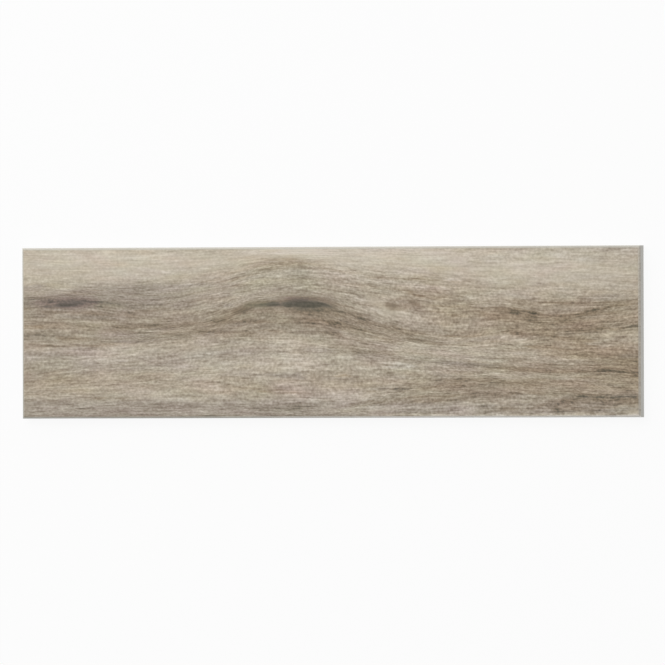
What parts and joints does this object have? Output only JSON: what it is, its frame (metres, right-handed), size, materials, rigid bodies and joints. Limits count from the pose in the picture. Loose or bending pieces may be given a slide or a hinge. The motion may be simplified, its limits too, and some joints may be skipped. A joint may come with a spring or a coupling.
{
  "type": "floor tile",
  "caption": "Plank-shaped porcelain floor tile with a matt wood-grain glazed face, fine arris and shallow keyed back.",
  "frame": {"origin": "middle of the keyed back, on the plane of its ribs and rim that the tile rests on", "axes": "+X along the plank and its grain, +Y across it, +Z out of the glazed face"},
  "size_m": [0.6, 0.15, 0.009],
  "materials": {
    "wood_look_porcelain": "matte"
  },
  "bodies": {
    "root": {"tile": "wood_look_porcelain"}
  },
  "joints": []
}
